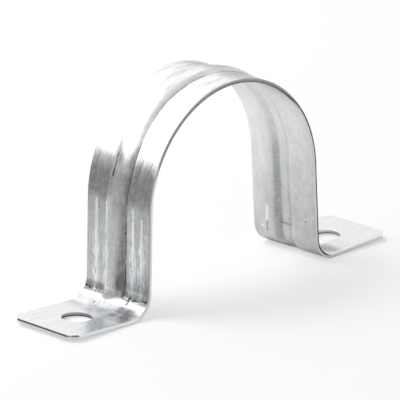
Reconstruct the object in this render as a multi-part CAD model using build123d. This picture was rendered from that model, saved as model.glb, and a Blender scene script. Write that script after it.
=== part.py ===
from build123d import *
import os
from math import atan2, cos, radians, sin, sqrt, tan

# Omega clamp: one pressed strip of galvanised steel that straps a pipe to a wall.
# X runs from foot to foot, Y along the pipe, Z away from the wall.
# The origin is on the wall plane, under the pipe's axis, midway along the strip's width.
# Sizes are in millimetres and the strip is shown as it leaves the press, sprung open.

# Strip
sheet = 0.9
strip_width = 20.0
edge_round = 0.15

# Saddle for the pipe
pipe_radius = 25.0
axis_height = 22.9
splay = 2.3

# Feet
bend_radius = 4.8
foot_reach = 22.6
corner_chamfer = 2.1
hole_diameter = 6.8
hole_from_end = 10.5

# Stiffening bead
bead_height = 0.8
ridge_width = 6.6
groove_width = 5.8
groove_floor = 2.2
floor_corner_radius = 0.6
lip_radius = 1.5
lip_ease = 4.0
ridge_fade = 0.3
groove_fade = 0.1

# Worked out from the sizes above, on one half whose leg still hangs straight down
lean = radians(splay)
leg_face = pipe_radius + sheet
bend_middle = leg_face + bend_radius
leg_length = (axis_height - bend_radius - sheet + bend_middle * sin(lean)) / cos(lean)
foot_end = leg_face + foot_reach
foot_top = -leg_length - bend_radius
foot_middle = foot_top - sheet / 2
hole_place = foot_end - hole_from_end
cutter_depth = 4 * sheet

# A section is drawn across the top of the leg: its x is Y, its y is outwards from the pipe
section_plane = Plane(origin=(0, 0, 0), x_dir=(0, 1, 0), z_dir=(0, 0, -1))


def bending_axis(x, z):
    """The line along the pipe's direction about which the strip is bent."""
    return Axis((x, 0, z), (0, -1, 0))


def press_along(section, middle, foot):
    """Carry a section over half the arch, down the leg, round the bend and out along the foot."""
    arch = revolve(section, bending_axis(0, 0), 90 - splay)
    leg = extrude(section, leg_length, dir=(0, 0, -1))
    low = Pos(0, 0, -leg_length) * section
    bend_axis = bending_axis(middle, -leg_length)
    run = arch + leg + revolve(low, bend_axis, 90)
    if foot > 0:
        run += extrude(low.rotate(bend_axis, 90), foot, dir=(1, 0, 0))
    return run


def slab(near, far):
    """The strip's section between two distances from the pipe's axis."""
    return section_plane * Pos(0, (near + far) / 2) * Rectangle(strip_width, far - near)


def press_strip(near, far):
    """A plain layer of the strip over its whole length."""
    return press_along(slab(near, far), bend_middle, foot_end - bend_middle)


def corner_cutter():
    """What the shears take off one corner of the foot, at 45 degrees."""
    side = corner_chamfer * sqrt(2)
    turned = Rot(0, 0, 45) * Box(side, side, cutter_depth)
    return Pos(foot_end, strip_width / 2, foot_middle) * turned


def sheared_edges(strip):
    """The edges of the outline, without fold lines and the corners' uprights."""
    folds = strip.edges().filter_by(Axis.Y).group_by(SortBy.LENGTH)[-1]
    uprights = strip.edges().filter_by(lambda edge: edge.length < sheet + edge_round)
    return strip.edges() - folds - uprights


def blank():
    """Half the strip, bent but without its bead."""
    corner = corner_cutter()
    strip = press_strip(pipe_radius, leg_face) - corner - mirror(corner, Plane.XZ)
    strip = fillet(sheared_edges(strip), edge_round)
    return strip - Pos(hole_place, 0, foot_middle) * Cylinder(hole_diameter / 2, cutter_depth)


def bead_ridge():
    """The bead's raised outside. Its own bend turns wider, so that it sinks into the strip."""
    crest = leg_face + bead_height
    root = leg_face - sheet / 2
    half_width = ridge_width / 2
    left, right = (-half_width, leg_face), (half_width, leg_face)
    outline = Polyline(left, (-half_width, root), (half_width, root), right)
    outline += ThreePointArc(right, (0, crest), left)
    section = section_plane * make_face(outline)
    ridge = press_along(section, bend_middle + bead_height + ridge_fade, 0)
    return ridge & press_strip(root, crest + sheet)


def bead_groove():
    """The punch's hollow on the pipe side of the bead, with rolled lips, sinking the same way."""
    floor = pipe_radius + bead_height
    rise = atan2(bead_height, (groove_width - groove_floor) / 2)
    ease = radians(lip_ease)
    lift = lip_radius * tan((rise - ease) / 2) * sin(ease)
    corner = (groove_floor / 2, floor)
    lip = (groove_width / 2 - lift / tan(rise), pipe_radius + lift)
    reach = 2 * lip_radius
    rim = (lip[0] + reach, lip[1] - reach * tan(ease))
    clear = pipe_radius - sheet
    outline = Polyline((0, floor), corner, lip, rim, (rim[0], clear), (0, clear), close=True)
    side = make_face(outline)
    side = fillet(side.vertices().sort_by_distance(lip)[0], lip_radius)
    side = fillet(side.vertices().sort_by_distance(corner)[0], floor_corner_radius)
    section = section_plane * (side + mirror(side, Plane.YZ))
    return press_along(section, bend_middle + bead_height + groove_fade, 0)


def set_on_wall(half):
    """Turn the half out about the pipe's axis by the splay and lift it to its height."""
    return Pos(0, 0, axis_height) * half.rotate(Axis.Y, -splay)


half = set_on_wall(blank() + bead_ridge() - bead_groove())
strap = half + mirror(half, Plane.YZ)
os.makedirs("parts", exist_ok=True)
export_step(strap, "parts/strap.step")
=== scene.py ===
from math import cos, exp, pi, radians, sin, sqrt

import bpy
from mathutils import Matrix, Vector


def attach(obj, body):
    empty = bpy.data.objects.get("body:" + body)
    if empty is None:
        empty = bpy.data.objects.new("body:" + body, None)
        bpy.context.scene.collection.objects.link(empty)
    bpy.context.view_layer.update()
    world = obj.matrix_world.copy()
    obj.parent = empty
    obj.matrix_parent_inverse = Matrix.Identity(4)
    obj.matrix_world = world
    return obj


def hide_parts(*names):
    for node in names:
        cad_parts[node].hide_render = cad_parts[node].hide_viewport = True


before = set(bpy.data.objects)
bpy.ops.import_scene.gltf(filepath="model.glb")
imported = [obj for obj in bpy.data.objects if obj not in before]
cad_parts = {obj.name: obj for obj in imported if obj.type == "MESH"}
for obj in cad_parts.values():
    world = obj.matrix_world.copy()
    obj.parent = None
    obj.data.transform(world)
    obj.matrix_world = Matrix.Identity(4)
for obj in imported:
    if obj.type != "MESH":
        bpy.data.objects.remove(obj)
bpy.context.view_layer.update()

# Camera
# A long lens that looks at the clamp's left front corner from a little above, rolled by a touch.
azimuth, elevation, roll = radians(-43.987), radians(18.288), radians(-0.683)
aim = Vector((0, 0, 0.025))
camera_data = bpy.data.cameras.new("camera")
camera_data.lens = 462.26
camera_data.clip_end = 10
camera = bpy.data.objects.new("camera", camera_data)
bpy.context.scene.collection.objects.link(camera)
heading = Matrix.Rotation(azimuth, 4, "Z") @ Matrix.Rotation(radians(90) - elevation, 4, "X")
stand_off = Matrix.Translation((-0.0006580, -0.0057668, 1.1445))
camera.matrix_world = Matrix.Translation(aim) @ heading @ Matrix.Rotation(roll, 4, "Z") @ stand_off
bpy.context.scene.camera = camera
bpy.context.scene.view_settings.view_transform = "Standard"

# Studio
# A white table under a broad soft lamp that hangs behind the clamp and a smaller one above it. Grey cards
# to the clamp's left, which only its reflections see, give the metal something dark to show. The table and
# the room are plain white to the camera and in reflections, and the table keeps the clamp's shadow.


class Socket:
    """A shader socket that Python's arithmetic works on, by adding Math nodes."""

    def __init__(self, tree, socket=None):
        self.tree, self.socket = tree, socket

    def node(self, kind, sockets, out=0, **settings):
        """Add any node: its settings first, then its sockets' values or links."""
        made = self.tree.nodes.new(kind)
        for name, value in settings.items():
            setattr(made, name, value)
        for name, value in sockets.items():
            if isinstance(value, Socket):
                self.tree.links.new(value.socket, made.inputs[name])
            else:
                made.inputs[name].default_value = value
        return Socket(self.tree, made.outputs[out] if made.outputs else None)

    def maths(self, operation, *others, clamp=False):
        """A Math node with this socket first."""
        values = dict(enumerate((self, *others)))
        return self.node("ShaderNodeMath", values, operation=operation, use_clamp=clamp)

    def backwards(self, operation, other):
        """A Math node with this socket second."""
        return self.node("ShaderNodeMath", {0: other, 1: self}, operation=operation)

    def __add__(self, other): return self.maths("ADD", other)
    def __radd__(self, other): return self.backwards("ADD", other)
    def __sub__(self, other): return self.maths("SUBTRACT", other)
    def __rsub__(self, other): return self.backwards("SUBTRACT", other)
    def __mul__(self, other): return self.maths("MULTIPLY", other)
    def __rmul__(self, other): return self.backwards("MULTIPLY", other)
    def __truediv__(self, other): return self.maths("DIVIDE", other)
    def __abs__(self): return self.maths("ABSOLUTE")

    def between(self, low, high):
        """0 below low, 1 above high, and smooth in between."""
        sockets = {"Value": self, "From Min": low, "From Max": high}
        return self.node("ShaderNodeMapRange", sockets, interpolation_type="SMOOTHSTEP")


def new_material(name):
    """A material with an empty tree, and its socket to add nodes to."""
    material = bpy.data.materials.new(name)
    material.use_nodes = True
    material.node_tree.nodes.clear()
    return material, Socket(material.node_tree)


def seen_directly(tree):
    """1 for a ray from the camera, a reflection or a refraction, and 0 for soft light."""
    rays = ["Is Camera Ray", "Is Glossy Ray", "Is Transmission Ray"]
    camera_ray, glossy_ray, glass_ray = [tree.node("ShaderNodeLightPath", {}, out=ray) for ray in rays]
    return (camera_ray + glossy_ray).maths("ADD", glass_ray, clamp=True)


def add_plane(name, place, size, turn=(0, 0, 0)):
    """A flat rectangle of the studio, which isn't part of the object."""
    bpy.ops.mesh.primitive_plane_add(size=1, location=place, rotation=[radians(a) for a in turn])
    plane = bpy.context.object
    plane.name = name
    plane.scale = (*size, 1)
    return plane


def add_lamp(name, place, size, energy):
    """A flat lamp that faces the object."""
    data = bpy.data.lights.new(name, "AREA")
    data.shape = "RECTANGLE"
    data.size, data.size_y = size
    data.energy = energy
    lamp = bpy.data.objects.new(name, data)
    bpy.context.scene.collection.objects.link(lamp)
    lamp.location = place
    lamp.rotation_euler = (aim - lamp.location).to_track_quat("-Z", "Y").to_euler()
    return lamp


room_light = 0.35
table_white = 0.78
table_glow = 1.13
world = bpy.data.worlds.new("white_room")
bpy.context.scene.world = world
world.use_nodes = True
world.node_tree.nodes.clear()
room = Socket(world.node_tree)
level = seen_directly(room) * (1 - room_light) + room_light
glow = room.node("ShaderNodeBackground", {"Color": (1, 1, 1, 1), "Strength": level})
room.node("ShaderNodeOutputWorld", {"Surface": glow})

table = add_plane("table", (0, 0, 0), (8, 8))
white, tree = new_material("white_table")
bare = tree.node("ShaderNodeBsdfDiffuse", {"Color": (table_white, table_white, table_white, 1)})
lit = tree.node("ShaderNodeEmission", {"Color": (1, 1, 1, 1), "Strength": table_glow})
mirrored = tree.node("ShaderNodeLightPath", {}, out="Is Glossy Ray")
shown = tree.node("ShaderNodeMixShader", {0: 0.5 + mirrored * 0.4, 1: lit, 2: bare})
both = tree.node("ShaderNodeMixShader", {0: seen_directly(tree), 1: bare, 2: shown})
tree.node("ShaderNodeOutputMaterial", {"Surface": both})
table.data.materials.append(white)

lamp_size = (1.85, 0.8)
lamp_glow = 1.5
lamp_energy = lamp_glow * pi * lamp_size[0] * lamp_size[1]
add_lamp("broad_lamp", (-0.18, 0.58, 0.56), lamp_size, lamp_energy)
key = add_lamp("key_lamp", (-0.35, 0.45, 0.9), (0.5, 0.5), 5.2)
key.visible_glossy = False

clear_of_table = 0.00002
card_grey, tree = new_material("card_grey")
felt = tree.node("ShaderNodeBsdfDiffuse", {"Color": (0.6, 0.6, 0.605, 1)})
tree.node("ShaderNodeOutputMaterial", {"Surface": felt})

# Each card's bearing from the right in degrees, its distance, width and height, and how far it is tipped up
for name, bearing, distance, width, height, tip in [
    ("card_back_left", 142, 0.111, 0.17, 0.067, 90),
    ("card_left", 185, 0.14, 0.16, 0.085, 90),
    ("card_flat", 196, 0.115, 0.10, 0.085, 0),
]:
    towards = radians(bearing)
    rise = height / 2 if tip else clear_of_table
    card_place = (distance * cos(towards), distance * sin(towards), rise)
    card = add_plane(name, card_place, (width, height), (tip, 0, bearing + 90 if tip else 0))
    card.data.materials.append(card_grey)
    card.visible_camera = card.visible_diffuse = card.visible_shadow = False

# Strap
# The whole clamp is one strip of hot-dip galvanised sheet steel. It is sheared and punched flat, then
# pressed: a bead is raised along its middle, the saddle is formed and both feet are turned out.
mm = 0.001
sheet = 0.9 * mm
strip_width = 20 * mm
edge_round = 0.15 * mm
pipe_radius = 25 * mm
axis_height = 22.9 * mm
lean = radians(2.3)
bend_radius = 4.8 * mm
foot_reach = 22.6 * mm
corner_chamfer = 2.1 * mm
hole_radius = 3.4 * mm
hole_from_end = 10.5 * mm

# The bead: half the width of its ridge and of its groove, the groove's sloping side, and how much wider
# than the strip's bend each of them turns where it sinks in
bead_height = 0.8 * mm
ridge_edge = 3.3 * mm
groove_edge = 2.9 * mm
groove_side = 1.8 * mm
ridge_fade = bead_height + 0.3 * mm
groove_fade = bead_height + 0.1 * mm

# The bead lies off the strip's middle. It swings nearly back to it once in the left half of the arch, and
# slips two thirds of the way back by the right foot (in mm).
bead_off = 0.6
swing_size, swing_place, swing_width = 0.55, -29, 7
slip_size, slip_start, slip_length = 0.4, 25, 35

# The bending tool's edge bites this far into the bend (in mm), in waves of a size, a pace and a shift.
# It stays clear of the bead.
fold_place = 2.25
fold_waves = [(0.3, 0.9, 0.4), (0.12, 3.3, 0.0)]
fold_depth = 0.06 * mm
fold_width = 0.2 * mm
bead_clear = 2.6 * mm

middle_radius = pipe_radius + sheet / 2
leg_face = pipe_radius + sheet
bend_middle = leg_face + bend_radius
leg_length = (axis_height - bend_radius - sheet + bend_middle * sin(lean)) / cos(lean)
bend_line = bend_radius + sheet / 2
leg_start = middle_radius * (pi / 2 - lean)
bend_start = leg_start + leg_length
foot_start = bend_start + bend_line * pi / 2
flat_end = foot_start + foot_reach - bend_radius
hole_place = flat_end - hole_from_end
tolerance = 1e-6


def pick(kind, wanted):
    """Select in edit mode only the vertices, edges or faces that a test on their points accepts."""
    bpy.ops.object.mode_set(mode="OBJECT")
    mesh = bpy.context.object.data
    for part in (mesh.vertices, mesh.edges, mesh.polygons):
        part.foreach_set("select", [False] * len(part))
    for item in getattr(mesh, kind):
        item.select = wanted([mesh.vertices[v].co for v in item.vertices])
    bpy.ops.object.mode_set(mode="EDIT")


def lies_along(points, axis):
    """True for an edge that runs along X (0) or Y (1)."""
    run = points[1] - points[0]
    return abs(run[axis]) > 0.999 * run.length


# The blank, flat: half the strip from the crown to the foot's end, with its corners sheared off
bpy.ops.object.select_all(action="DESELECT")
bpy.ops.mesh.primitive_cube_add(size=1, location=(flat_end / 2, 0, 0))
strap = bpy.context.object
strap.name = "pressed_strap"
strap.scale = (flat_end, strip_width, sheet)
bpy.ops.object.transform_apply(location=True, rotation=False, scale=True)
bpy.ops.object.mode_set(mode="EDIT")
bpy.ops.mesh.select_mode(type="EDGE")
pick("edges", lambda points: all(p.x > flat_end / 2 for p in points) and points[0].y * points[1].y > 0)
bpy.ops.mesh.bevel(offset=corner_chamfer, segments=1)
bpy.ops.object.mode_set(mode="OBJECT")

# The screw hole is punched
bpy.ops.mesh.primitive_cylinder_add(
    vertices=72, radius=hole_radius, depth=4 * sheet, location=(hole_place, 0, 0)
)
punch = bpy.context.object
bpy.ops.object.select_all(action="DESELECT")
strap.select_set(True)
bpy.context.view_layer.objects.active = strap
cut = strap.modifiers.new("punch", "BOOLEAN")
cut.object, cut.operation, cut.solver = punch, "DIFFERENCE", "EXACT"
bpy.ops.object.modifier_apply(modifier=cut.name)
bpy.data.objects.remove(punch)

# Lines where the press's work begins and ends, then the sheared edges lose their sharpness
bpy.ops.object.mode_set(mode="EDIT")
bead_reach = 4.2 * mm
for line_place, normal in [
    ((leg_start, 0, 0), (1, 0, 0)),
    ((bend_start, 0, 0), (1, 0, 0)),
    ((foot_start, 0, 0), (1, 0, 0)),
    ((0, bead_reach, 0), (0, 1, 0)),
    ((0, -bead_reach, 0), (0, 1, 0)),
]:
    bpy.ops.mesh.select_all(action="SELECT")
    bpy.ops.mesh.bisect(plane_co=line_place, plane_no=normal)


def on_outline(points):
    """True for an edge of the strip's or the hole's outline, on either face."""
    if any(abs(abs(p.z) - sheet / 2) > tolerance for p in points) or points[0].z * points[1].z < 0:
        return False
    along_side = all(abs(abs(p.y) - strip_width / 2) < tolerance for p in points)
    corner_line = flat_end + strip_width / 2 - corner_chamfer
    at_corner = all(p.x + abs(p.y) > corner_line - tolerance for p in points)
    at_end = all(p.x > flat_end - tolerance for p in points)
    from_hole = [Vector((p.x - hole_place, p.y)).length for p in points]
    round_hole = all(abs(distance - hole_radius) < 10 * tolerance for distance in from_hole)
    return along_side or at_corner or at_end or round_hole


pick("edges", on_outline)
bpy.ops.mesh.bevel(offset=edge_round, segments=3, affect="EDGES")


def divide(axis, start, end, parts):
    """Cut the edges along X (0) or Y (1) between two places into equal parts, apart from the feet's."""

    def wanted(points):
        low, high = start - tolerance, end + tolerance
        inside = all(low < p[axis] < high and p.x < foot_start + tolerance for p in points)
        return inside and lies_along(points, axis)

    pick("edges", wanted)
    bpy.ops.mesh.subdivide(number_cuts=parts - 1)


# Rows and columns fine enough for the bends and the bead
divide(0, 0, leg_start, 72)
divide(0, leg_start, bend_start, 44)
divide(0, bend_start, foot_start, 52)
side_reach = strip_width / 2 - edge_round
divide(1, -bead_reach, bead_reach, 44)
divide(1, -side_reach, -bead_reach, 16)
divide(1, bead_reach, side_reach, 16)
pick("polygons", lambda points: all(p.x < tolerance for p in points))
bpy.ops.mesh.delete(type="FACE")
bpy.ops.object.mode_set(mode="OBJECT")

# The other half is the same
twin = strap.modifiers.new("twin", "MIRROR")
twin.merge_threshold = tolerance
bpy.ops.object.modifier_apply(modifier=twin.name)

# The flat strip's own coordinates stay on it, for marks that follow the metal
mesh = strap.data
flat = mesh.attributes.new("flat", "FLOAT_VECTOR", "POINT")
for vertex in mesh.vertices:
    flat.data[vertex.index].vector = vertex.co / mm


def soft_top(value, softness):
    """The value where it is above zero and zero below, with the corner rounded."""
    return (value + sqrt(value * value + softness * softness)) / 2


def sunk(height, radius, fade, turned):
    """The bead's height in the bend, where its own bend turns wider and it sinks into the strip."""
    reach = radius + fade - height
    return radius + fade * cos(turned) - sqrt(reach * reach - (fade * sin(turned)) ** 2)


ridge_radius = (ridge_edge ** 2 + bead_height ** 2) / (2 * bead_height)


def fold_mark(across):
    """How far into the bend the bending tool's edge bit, which wavers across the strip."""
    return (fold_place + sum(size * sin(pace * across / mm + shift) for size, pace, shift in fold_waves)) * mm


def bead_centre(along):
    """How far the bead wanders off the strip's middle, from the left foot (below 0) to the right."""
    swing = exp(-((along / mm - swing_place) / swing_width) ** 2)
    slip = min(max((along / mm - slip_start) / slip_length, 0), 1)
    return (bead_off - swing_size * swing - slip_size * slip) * mm


def raised(along, across, side):
    """How far the press moves a point of the outer (1) or inner (-1) face outwards for the bead."""
    turned = min(max((along - bend_start) / bend_line, 0), pi / 2)
    vanishing = (1 - (turned / (pi / 2)) ** 4) ** 2
    if side > 0:
        height = sqrt(max(ridge_radius ** 2 - across ** 2, 0)) - ridge_radius + bead_height
        blend = 0.06 * mm + 0.55 * mm * (turned / (pi / 2)) ** 1.5
        return soft_top(sunk(height, bend_radius, ridge_fade, turned), blend) * vanishing
    slope = bead_height * (groove_edge - abs(across)) / groove_side
    height = bead_height - soft_top(bead_height - slope, 0.05 * mm)
    return soft_top(sunk(height, bend_radius + sheet, groove_fade, turned), 0.1 * mm) * vanishing


def press(point):
    """Where the press takes a point of the flat blank."""
    along, across, layer = abs(point.x), point.y, point.z
    if along < foot_start and abs(across) < strip_width / 2 - edge_round:
        layer += raised(along, across - bead_centre(point.x), layer)
    if layer > 0 and abs(across) > bead_clear:
        layer -= fold_depth * exp(-((along - bend_start - fold_mark(across)) / fold_width) ** 2)
    if along < leg_start:
        turned = (leg_start - along) / middle_radius
        x, z = (middle_radius + layer) * cos(turned), (middle_radius + layer) * sin(turned)
    elif along < bend_start:
        x, z = middle_radius + layer, leg_start - along
    elif along < foot_start:
        turned = (along - bend_start) / bend_line
        x = bend_middle - (bend_line - layer) * cos(turned)
        z = -leg_length - (bend_line - layer) * sin(turned)
    else:
        x, z = bend_middle + along - foot_start, layer - leg_length - bend_line
    x, z = x * cos(lean) - z * sin(lean), x * sin(lean) + z * cos(lean)
    return Vector((x if point.x > 0 else -x, across, z + axis_height))


for vertex in mesh.vertices:
    at_crown = abs(vertex.co.x) < tolerance
    vertex.co = press(vertex.co)
    if at_crown:
        vertex.co.x = 0
mesh.update()
bpy.ops.object.shade_smooth_by_angle(angle=radians(40))
evened = strap.modifiers.new("evened", "WEIGHTED_NORMAL")
evened.keep_sharp = True
bpy.ops.object.modifier_apply(modifier=evened.name)

# The material works in millimetres on the flat strip: along it from the crown (the left half is below 0),
# across it, and through the sheet. Down is from the leg's top, and off_bead from the bead's own middle.
zinc, tree = new_material("galvanised_steel")
flat_place = tree.node("ShaderNodeAttribute", {}, out="Vector", attribute_name="flat")
along, across, layer = [tree.node("ShaderNodeSeparateXYZ", {0: flat_place}, out=axis) for axis in "XYZ"]
outside = layer.between(-0.2, 0.2)
inside = 1 - outside
face_shift = outside * 9
right_half = along.between(-1, 1)
left_half = 1 - right_half
down = abs(along) - leg_start / mm
into_bend = abs(along) - bend_start / mm
above_fold = 1 - into_bend.between(2, 4)
swing = (along - swing_place) / swing_width
swing = (swing * swing * -1).maths("EXPONENT")
slip = ((along.maths("MAXIMUM", slip_start) - slip_start) / slip_length).maths("MINIMUM", 1)
off_bead = across - bead_off + swing * swing_size + slip * slip_size


def grain(length, width, shift, detail=2):
    """Cloudy variation from 0 to 1 with patches of a length along the strip and a width across it."""
    spot = tree.node("ShaderNodeCombineXYZ", {0: along / length, 1: across / width, 2: face_shift + shift})
    return tree.node("ShaderNodeTexNoise", {"Vector": spot, "Scale": 1, "Detail": detail}, out="Fac")


def line(distance, half_width, softness):
    """1 within half a line's width of its middle, fading to 0 beyond."""
    return 1 - abs(distance).between(half_width, half_width + softness)


def stretch(value, start, end, softness):
    """1 between two values, fading to 0 on both sides."""
    return value.between(start - softness, start) * (1 - value.between(end, end + softness))


# Clouds of the zinc, faint smears along the strip, and fine short grain across it
clouds = grain(1.7, 1.3, 0, 4) - 0.5
scores = grain(7, 0.16, 60, 3) - 0.5
smears = grain(12, 1.1, 3, 4) - 0.5
hairs = grain(0.22, 0.9, 6, 2) - 0.5
on_foot = outside * into_bend.between(5, 9)
shade = 0.80 + (clouds * 0.26 + hairs * 0.10) * (1 - on_foot * 0.85) + smears * (0.12 + outside * 0.12)

# Handling has left grey strokes over the crown; beside the crown and over it the colour is also painted
# darker, as painted shade that dims the lamp's highlight there
strokes = grain(7, 1.0, 50, 5).between(0.42, 0.7) * (1 - abs(along).between(14, 40))
dimmed_highlight_beside_crown = stretch(abs(along), 5, 10, 6) * (1 - stretch(off_bead, -3.2, -1.4, 0.4) * 0.5)
shade = shade - outside * (strokes * 0.16 + dimmed_highlight_beside_crown * 0.23 + (1 - abs(along).between(6, 26)) * 0.02)

# The inner face is painted darker towards the feet, as painted shade, and mottled, more strongly lower down
mottled = (grain(0.6, 0.9, 44, 4) - 0.5) * 0.26 + (grain(5, 4, 62) - 0.5) * 0.3
mottled = mottled * (0.35 + down.between(-14, 2) * 0.65)
shade = shade + inside * (0.09 - down.between(-12, 18) * 0.23 + mottled)
# Its far side is painted lighter and its near side and the top of its near half darker, as painted light and
# shade
painted_far_side_light = across.between(3, 9) * 0.15 * stretch(down, -10, 14, 8)
painted_near_side_shade = (1 - across.between(-10, -7)) * 0.08
painted_near_top_shade = (1 - down.between(-29, -15)) * (1 - across.between(-8, 0)) * 0.3
shade = shade + inside * (painted_far_side_light - painted_near_side_shade - painted_near_top_shade)

# The die has dulled the outer face of both legs, and dragged bright ragged streaks down it
fray = (grain(1.5, 0.8, 11) - 0.5) * 4 + (grain(5, 0.22, 12) - 0.5) * 6
worn = outside * stretch(down + fray, -10.4, 60, 5) * above_fold
shade = shade + worn * (scores * 0.3 + clouds * 0.15)
# Low on the leg the bead's near flank is painted darker still, as painted shade; just above the leg the
# ridge's top and its far side are painted lighter, as painted highlight
shade = shade - worn * (0.2 + down.between(6, 19) * stretch(off_bead, -2.8, -1.6, 1.4) * 0.12)
shade = shade + worn * stretch(off_bead, -2.2, 1.2, 0.8) * stretch(down, -8, -2, 2) * 0.3
shade = shade + worn * across.between(1, 4) * stretch(down, -11, -8.5, 2) * 0.18
wander = (grain(7, 50, 14) - 0.5) * 0.6 + (grain(0.4, 0.8, 15) - 0.5) * 0.5
ragged = grain(3, 0.2, 17, 4)
torn_off = grain(2.6, 0.2, 71, 1).between(0.5, 0.6) * down.between(5, 13)

# Each streak's place across, half its width, and where down the leg it starts
for offset, half_width, start in [(7.0, 0.32, -1), (3.6, 0.3, -1), (-4.7, 0.3, -1), (-7.4, 0.16, 1)]:
    streak = line(across - offset + wander, half_width, 0.16) * ragged.between(0.4, 0.5)
    shade = shade + streak * worn * down.between(start, start + 2) * (0.95 - torn_off * 0.3)
    shade = shade + line(across - offset, 0.8, 0.5) * (1 - streak) * worn * torn_off * 0.8

# The bead's flanks that face the feet's front corners are painted darker, as painted shade, sharply at the
# bead's corner line; the groove's near flank and the ridge's far flank on the arch are painted lighter, as
# painted light
flank_end = down.between(4, 16) * 1.2
outer_flank = outside * off_bead.between(-3.3, -3.15) * (1 - (off_bead - flank_end).between(-2.6, -0.5))
inner_flank = inside * off_bead.between(1.05, 1.25) * (1 - off_bead.between(2.2, 3.9))
far_flank = inside * stretch(off_bead, -2.8, -1.3, 0.2)
on_bead = above_fold * (0.8 + smears * 1.5)
outer_flank_shade = outer_flank * abs(along - 3).between(9, 21) * (0.24 + worn * 0.02)
inner_flank_shade = inner_flank * (0.12 + down.between(0, 16) * 0.17)
shade = shade + (far_flank * 0.16 - outer_flank_shade - inner_flank_shade) * on_bead
shade = shade + outside * stretch(off_bead, 1.5, 3.2, 0.6) * stretch(down, -17, -9, 3) * 0.25

# A thin, broken dark line along each side of the bead: its face, place and depth
for face, offset, depth in [(outside, -3.25, 0.34), (outside, 3.3, 0.16), (inside, -1.12, 0.2)]:
    dark_corner_line = line(off_bead - offset + (grain(12, 60, 35) - 0.5) * 0.3, 0.05, 0.14)
    dark_corner_line = dark_corner_line * face * grain(5, 0.6, 38).between(0.3, 0.5) * (1 - into_bend.between(-1, 1))
    shade = shade - dark_corner_line * depth

# Marks where the edge of the bending tool bit, broken along the fold, painted black as painted shade in the
# dents
waver = sum((across * pace + shift).maths("SINE") * size for size, pace, shift in fold_waves)
bite_and_its_shade = line(into_bend - fold_place - waver + (grain(0.5, 0.5, 20) - 0.5) * 0.6, 0.2, 0.14)
gaps = stretch(across, 6.4, 9.7, 0.3) + stretch(across, 2.9, 4.6, 0.3) + stretch(across, -9.6, -4.2, 0.3)
bite_and_its_shade = bite_and_its_shade * gaps * grain(3, 0.7, 23).between(0.32, 0.44) * outside
shade = shade - bite_and_its_shade * 0.6

# A darker patch on the foot beside the bend, and painted shade across the end of the bend that narrows the
# lamp's highlight there
darker_patch = down.between(22.4, 23.6) * (1 - down.between(28, 35)) * stretch(across, -8.5, -4.6, 2.5)
deepest = (1 - down.between(23.6, 25.4)) * 0.1 + stretch(down, 27.3, 29.6, 1.5) * 0.2
darker_patch = darker_patch * (0.32 + clouds * 0.5 + deepest)
darker_patch = darker_patch * (1 - (1 - across.between(-9.5, -7)) * (1 - down.between(25, 29)) * 0.9)
bend_highlight_shade = down.between(21.5, 24) * (1 - down.between(26, 31))
shade = shade - (darker_patch + bend_highlight_shade * (0.22 + smears * 0.5)) * outside

# The right foot is painted lighter beside its bend, as painted light, and the left one darker, as painted
# shade over the end of its bend's highlight and a darker patch past it, but for the bead's run-out, which is
# painted lighter, as painted light
painted_light_by_right_bend = stretch(into_bend, 4, 11, 4) * 0.2
painted_shade_by_left_bend = stretch(down, 26.8, 28.6, 1.2) * (1 - across.between(2, 5)) * 0.25
painted_shade_by_left_bend = (painted_shade_by_left_bend + stretch(down, 23.8, 25.4, 1.4) * 0.18) * across.between(-5, -3)
painted_light_on_run_out = stretch(down, 20, 22.8, 0.8) * stretch(across, -1.6, 3.4, 0.7) * 0.5
painted_light_on_run_out = painted_light_on_run_out + stretch(down, 21.2, 22.6, 0.6) * stretch(across, 0.5, 3.6, 0.8) * 0.3
shade = shade + outside * (right_half * painted_light_by_right_bend + left_half * (painted_light_on_run_out - painted_shade_by_left_bend))

# Scratches, nicks and rubs, and among them painted shade and a painted highlight, marked below: the face,
# where each starts and ends down the leg and across it, half its width, and how much lighter it is
left_outside = outside * left_half
right_inside = inside * right_half
broken = grain(0.6, 0.4, 41).between(0.3, 0.5)
for face, start, start_across, end, end_across, half_width, change in [
    # painted shade along the ridge's far flank on the arch
    (left_outside, -11.1, 2.2, -6.1, 2.15, 0.22, -0.8),
    (left_outside, -11.0, -5.3, -7.2, -4.9, 0.1, -0.5),
    (left_outside, -11.0, -8.2, -7.6, -7.6, 0.1, -0.5),
    (left_outside, 5.7, -2.7, 6.1, -2.3, 0.2, -0.4),
    (left_outside, 5.2, -8.7, 5.7, -8.7, 0.12, 0.4),
    (left_outside, 20.1, -4.55, 22.4, -4.2, 0.32, -0.8),
    (left_outside, 24.2, 4.3, 24.6, 4.45, 0.2, -0.6),
    # painted shade at the groove's end, where it runs out
    (right_inside, 16.9, -0.3, 17.1, -0.3, 1.9, -0.4),
    # painted highlight at the groove's near corner by its end
    (right_inside, 17.0, -1.95, 17.3, -1.95, 0.25, 0.35),
    (right_inside, 13.6, 5.35, 17.2, 5.8, 0.42, 0.35),
    (right_inside, 17.3, 5.7, 19.6, 5.6, 0.14, -0.6),
    (right_inside, 18.6, 7.2, 19.0, 7.1, 0.5, 0.3),
    (right_inside, 18.7, 8.64, 19.0, 8.64, 0.16, -0.5),
    (right_inside, 14.6, -6.81, 14.9, -6.81, 0.16, -0.5),
]:
    slope = (end_across - start_across) / (end - start)
    distance = across - start_across - (down - start) * slope
    mark = line(distance, half_width * 0.6, half_width * 0.8) * stretch(down, start, end, 0.2)
    shade = shade + mark * face * broken * change

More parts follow.
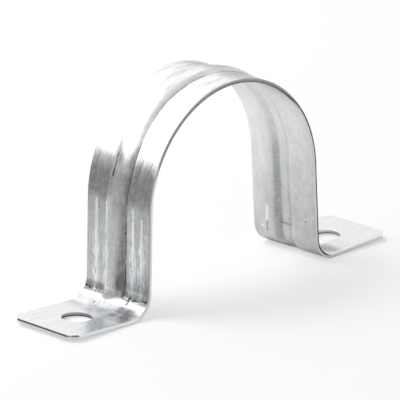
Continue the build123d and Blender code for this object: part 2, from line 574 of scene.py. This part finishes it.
# Sheared edges and the hole's wall are dull and darker, most of all next to the pipe side
side_at, end_at = strip_width / mm / 2, flat_end / mm
corner_at = side_at + end_at - corner_chamfer / mm
side_edge = abs(across).between(side_at - 0.16, side_at - 0.08)
end_edge = abs(along).between(end_at - 0.16, end_at - 0.08)
corner_edge = (abs(along) + abs(across)).between(corner_at - 0.2, corner_at - 0.1)
from_hole = tree.node("ShaderNodeCombineXYZ", {0: abs(along) - hole_place / mm, 1: across, 2: 0.0})
from_hole = tree.node("ShaderNodeVectorMath", {0: from_hole}, out="Value", operation="LENGTH")
hole_wall = 1 - from_hole.between(hole_radius / mm + 0.06, hole_radius / mm + 0.14)
sheared = side_edge.maths("MAXIMUM", end_edge).maths("MAXIMUM", corner_edge).maths("MAXIMUM", hole_wall)
near_crown = stretch(along, -24, 16, 10)
left_leg = 1 - along.between(-34, -24)

# A dark line runs in the edges at the burr, as painted shade of a burr that the mesh doesn't have, ragged at
# the left foot's corners and fainter over the arch
burr_shade_line = 0.3 - near_crown * 0.6 + left_leg * side_edge * 0.14
foot_side = side_edge * into_bend.between(4, 8)
burr_shade = line(layer - burr_shade_line, 0.2, 0.12) * (1 - foot_side) * (1 - hole_wall) * (1 - along.between(75, 78))
burr_shade_depth = 0.75 - stretch(along, -29, 23, 4) * 0.45 + along.between(12, 30)
burr_shade = burr_shade * (burr_shade_depth + left_leg * (end_edge + corner_edge) * 0.45)
whole_corner = 1 - grain(0.35, 0.35, 73).between(0.38, 0.5)
burr_shade = burr_shade * (1 - left_leg * corner_edge * whole_corner)
torn = (grain(0.5, 40, 26, 3) - 0.5) * 0.3
cut_shade = 0.86 - near_crown * 0.42 + left_leg * side_edge * 0.12 + torn - burr_shade * 0.6
shade = shade * (1 - sheared) + cut_shade * sheared

# The hole's wall is painted darker, as painted shade in the hole, and darkest in its lower part, as painted
# shadow of the gap under the foot
painted_gap_shadow = 1 - layer.between(-0.16, -0.06)
shade = shade - hole_wall * (0.36 - right_half * 0.26 + painted_gap_shadow * (0.45 + right_half * 0.1))

# Small dark specks
spot = tree.node("ShaderNodeCombineXYZ", {0: along, 1: across, 2: face_shift})
speck = tree.node("ShaderNodeTexVoronoi", {"Vector": spot, "Scale": 0.42}, out="Distance")
speck = 1 - speck.between(0.03, 0.075)
shade = shade - speck * grain(1, 1, 29).between(0.4, 0.6) * 0.35

# From the shade to the colour, the roughness and the bumps
# The dark end of the colour serves both the zinc's dark marks and the painted shade
dark_marks_and_shade = (0.02, 0.02, 0.022, 1)
bright_zinc = (0.875, 0.89, 0.905, 1)
mixed = {0: shade.maths("MAXIMUM", 0.0), 6: dark_marks_and_shade, 7: bright_zinc}
colour = tree.node("ShaderNodeMix", mixed, out=2, data_type="RGBA")
uneven = (clouds * 0.12 - smears * 0.08) * (1 - on_foot * 0.8)
polished = outside * abs(along).between(5, 25)
roughness = 0.36 - polished * 0.09 + uneven + (sheared + bite_and_its_shade) * 0.2
height = (grain(0.7, 0.7, 32, 2) * 0.3 + hairs * 0.2 + clouds) * (0.04 + worn * 0.96) - bite_and_its_shade * 2
bump_sockets = {"Height": height, "Strength": 0.2, "Distance": 0.03 * mm}
bumps = tree.node("ShaderNodeBump", bump_sockets, out="Normal")
metal = tree.node(
    "ShaderNodeBsdfPrincipled",
    {"Base Color": colour, "Metallic": 1.0, "Roughness": roughness, "Normal": bumps},
)
tree.node("ShaderNodeOutputMaterial", {"Surface": metal})
mesh.materials.clear()
mesh.materials.append(zinc)
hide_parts("strap")
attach(strap, "root")
